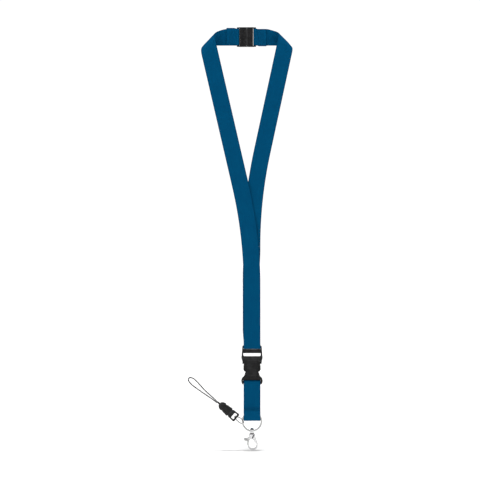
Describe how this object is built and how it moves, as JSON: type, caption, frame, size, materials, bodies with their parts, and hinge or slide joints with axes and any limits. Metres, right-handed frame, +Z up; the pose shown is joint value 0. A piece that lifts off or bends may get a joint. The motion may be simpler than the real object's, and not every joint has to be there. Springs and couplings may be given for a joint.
{
  "type": "lanyard",
  "caption": "Neck lanyard of blue webbing with a neck breakaway, a side-release buckle, a key ring, a metal swivel hook and a detachable phone holder on a cord loop.",
  "frame": {"origin": "middle of the neck band, between the breakaway's two halves, where the lanyard hangs from the neck", "axes": "+Z up, towards the neck; the lanyard hangs along -Z; -Y is its front, so +Y points at the wearer; +X is to the right seen from the front"},
  "size_m": [0.1225, 0.0192, 0.4948],
  "materials": {
    "webbing": "woven polyester",
    "thread": "polyester thread",
    "black_plastic": "fine matt moulded acetal",
    "nickel": "bright nickel plate",
    "spring_steel": "bright drawn wire",
    "cord": "round braided cord"
  },
  "bodies": {
    "neck_loop": {"strap_left": "webbing", "neck_stitching_left": "thread", "breakaway_socket": "black_plastic", "buckle_plug": "black_plastic"},
    "right_half": {"strap_right": "webbing", "neck_stitching_right": "thread", "breakaway_tongue": "black_plastic"},
    "arm_left": {"release_arm_left": "black_plastic"},
    "arm_right": {"release_arm_right": "black_plastic"},
    "lower_buckle": {"buckle_socket": "black_plastic"},
    "tab": {"tab_strap": "webbing", "tab_stitching": "thread"},
    "ring": {"key_ring": "nickel"},
    "eye": {"swivel_eye": "nickel"},
    "hook": {"hook_body": "nickel", "gate_pin": "nickel", "gate_spring": "spring_steel"},
    "gate": {"gate_lever": "nickel"},
    "holder": {"tether_cord": "cord", "clip_plug": "black_plastic"},
    "holder_arm_left": {"clip_arm_left": "black_plastic"},
    "holder_arm_right": {"clip_arm_right": "black_plastic"},
    "phone_end": {"clip_socket": "black_plastic", "cord_sleeve": "black_plastic", "phone_cord": "cord"}
  },
  "joints": [
    {"name": "breakaway_release", "type": "hinge", "parent": "neck_loop", "child": "right_half", "pos_m": [0.0064, -0.01195, -0.2456], "axis": [0, 1, 0], "range_deg": [0, 9]},
    {"name": "buckle_release", "type": "slide", "parent": "neck_loop", "child": "lower_buckle", "axis": [0, 0, -1], "range_m": [0, 0.02]},
    {"name": "arm_press_left", "type": "hinge", "parent": "neck_loop", "child": "arm_left", "pos_m": [-0.0015, -0.014, -0.3768], "axis": [0, -1, 0], "range_deg": [0, 19]},
    {"name": "arm_press_right", "type": "hinge", "parent": "neck_loop", "child": "arm_right", "pos_m": [0.0143, -0.014, -0.3768], "axis": [0, 1, 0], "range_deg": [0, 19]},
    {"name": "tab_swing", "type": "hinge", "parent": "lower_buckle", "child": "tab", "pos_m": [0.0064, -0.014, -0.404], "axis": [1, 0, 0], "range_deg": [-60, 60]},
    {"name": "ring_swing", "type": "hinge", "parent": "tab", "child": "ring", "pos_m": [0.0064, -0.014, -0.448], "axis": [1, 0, 0], "range_deg": [-12, 12]},
    {"name": "eye_swing", "type": "hinge", "parent": "ring", "child": "eye", "pos_m": [0.0064, -0.014, -0.46105], "axis": [1, 0, 0], "range_deg": [-60, 60]},
    {"name": "hook_swivel", "type": "hinge", "parent": "eye", "child": "hook", "pos_m": [0.0064, -0.014, -0.465], "axis": [0, 0, 1], "continuous": true},
    {"name": "gate_open", "type": "hinge", "parent": "hook", "child": "gate", "pos_m": [0.0039, -0.014, -0.4687], "axis": [0, -1, 0], "range_deg": [0, 25], "stiffness_Nm_per_rad": 0.01, "springref_deg": -11.46, "deforming": ["gate_spring"]},
    {"name": "tether_swing", "type": "hinge", "parent": "ring", "child": "holder", "pos_m": [-0.00465, -0.014, -0.45], "axis": [0, -1, 0], "range_deg": [0, 105], "deforming": ["tether_cord"]},
    {"name": "clip_release", "type": "slide", "parent": "holder", "child": "phone_end", "axis": [-0.7627, 0, 0.6468], "range_m": [0, 0.011]},
    {"name": "clip_press_left", "type": "hinge", "parent": "holder", "child": "holder_arm_left", "pos_m": [-0.0203, -0.014, -0.44359], "axis": [0, 1, 0], "range_deg": [0, 16]},
    {"name": "clip_press_right", "type": "hinge", "parent": "holder", "child": "holder_arm_right", "pos_m": [-0.01551, -0.014, -0.43794], "axis": [0, -1, 0], "range_deg": [0, 16]}
  ],
  "couplings": [
    {"joint": "arm_press_left", "follows": "buckle_release", "rad_per_m": 16},
    {"joint": "arm_press_right", "follows": "buckle_release", "rad_per_m": 16},
    {"joint": "clip_press_left", "follows": "clip_release", "rad_per_m": 24},
    {"joint": "clip_press_right", "follows": "clip_release", "rad_per_m": 24}
  ]
}
